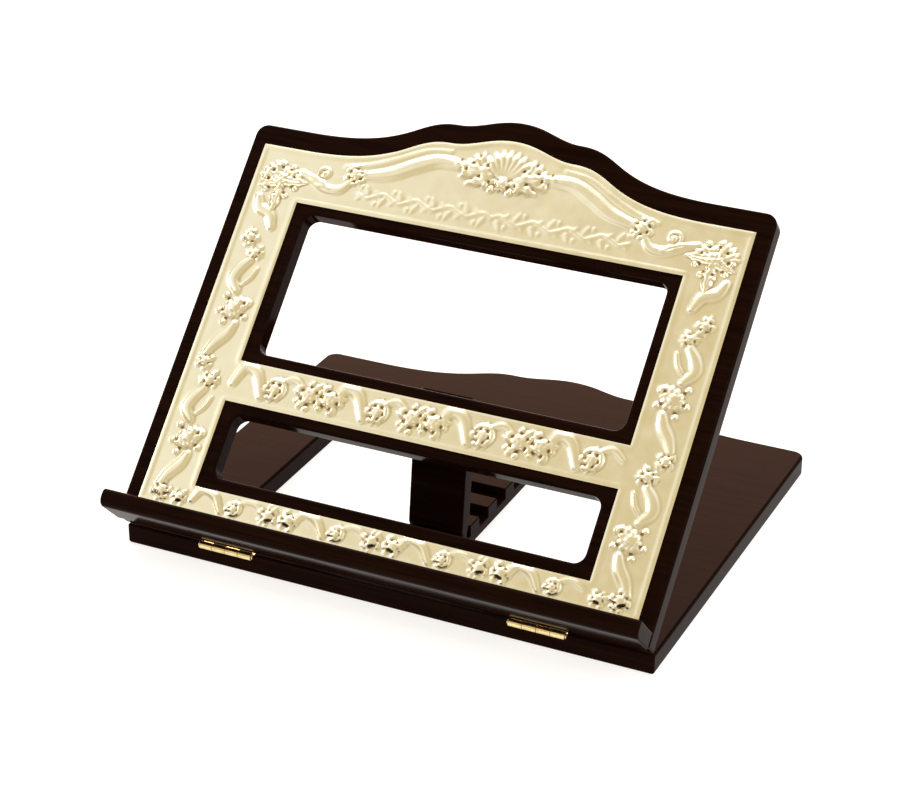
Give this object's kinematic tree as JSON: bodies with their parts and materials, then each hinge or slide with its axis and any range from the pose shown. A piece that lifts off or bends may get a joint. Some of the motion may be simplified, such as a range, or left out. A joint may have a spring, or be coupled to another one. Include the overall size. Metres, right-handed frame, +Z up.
{
  "type": "folding book stand",
  "caption": "Arched folding tabletop book stand: hinged dark wood base and panel, embossed gold plaque frame, book ledge, and a prop leg set in a notched rail.",
  "frame": {"origin": "middle of the underside of the stand as it stands open, at the centre of its overall length and depth", "axes": "+X along the front edge to the reader's right, +Y from the reader to the back, +Z up"},
  "size_m": [0.4, 0.3756, 0.2709],
  "materials": {
    "dark_wood": "dark mahogany stain under high-gloss lacquer",
    "dowel_wood": "plain beech dowel, hidden in the joints",
    "gold_plate": "embossed pale gold plated sheet, polished",
    "hinge_brass": "polished brass",
    "dark_bronze": "oil-rubbed bronze, nearly black",
    "pin_metal": "brass plated pin"
  },
  "bodies": {
    "base": {"base_board": "dark_wood", "notched_rail": "dark_wood", "rail_dowel_1": "dowel_wood", "rail_dowel_2": "dowel_wood", "rail_dowel_3": "dowel_wood", "rail_dowel_4": "dowel_wood", "front_hinge_left_base_leaf": "hinge_brass", "front_hinge_left_base_screw_1": "hinge_brass", "front_hinge_left_base_screw_2": "hinge_brass", "front_hinge_left_pin": "pin_metal", "front_hinge_right_base_leaf": "hinge_brass", "front_hinge_right_base_screw_1": "hinge_brass", "front_hinge_right_base_screw_2": "hinge_brass", "front_hinge_right_pin": "pin_metal"},
    "panel": {"panel_board": "dark_wood", "book_ledge": "dark_wood", "plaque": "gold_plate", "ledge_dowel_1": "dowel_wood", "ledge_dowel_2": "dowel_wood", "ledge_dowel_3": "dowel_wood", "ledge_dowel_4": "dowel_wood", "front_hinge_left_panel_leaf": "hinge_brass", "front_hinge_left_panel_screw_1": "hinge_brass", "front_hinge_left_panel_screw_2": "hinge_brass", "front_hinge_right_panel_leaf": "hinge_brass", "front_hinge_right_panel_screw_1": "hinge_brass", "front_hinge_right_panel_screw_2": "hinge_brass", "prop_hinge_panel_leaf": "dark_bronze", "prop_hinge_panel_screw_1": "dark_bronze", "prop_hinge_panel_screw_2": "dark_bronze", "prop_hinge_pin": "dark_bronze"},
    "prop": {"prop_leg": "dark_wood", "prop_hinge_leg_leaf": "dark_bronze", "prop_hinge_leg_screw_1": "dark_bronze", "prop_hinge_leg_screw_2": "dark_bronze"}
  },
  "joints": [
    {"name": "panel_tilt", "type": "hinge", "parent": "base", "child": "panel", "pos_m": [0, -0.15807, 0.0154], "axis": [1, 0, 0], "range_deg": [0, 60]},
    {"name": "prop_swing", "type": "hinge", "parent": "panel", "child": "prop", "pos_m": [0, -0.05808, 0.11425], "axis": [1, 0, 0], "range_deg": [-38, 141]}
  ],
  "couplings": [
    {"joint": "prop_swing", "follows": "panel_tilt", "ratio": -0.63}
  ]
}
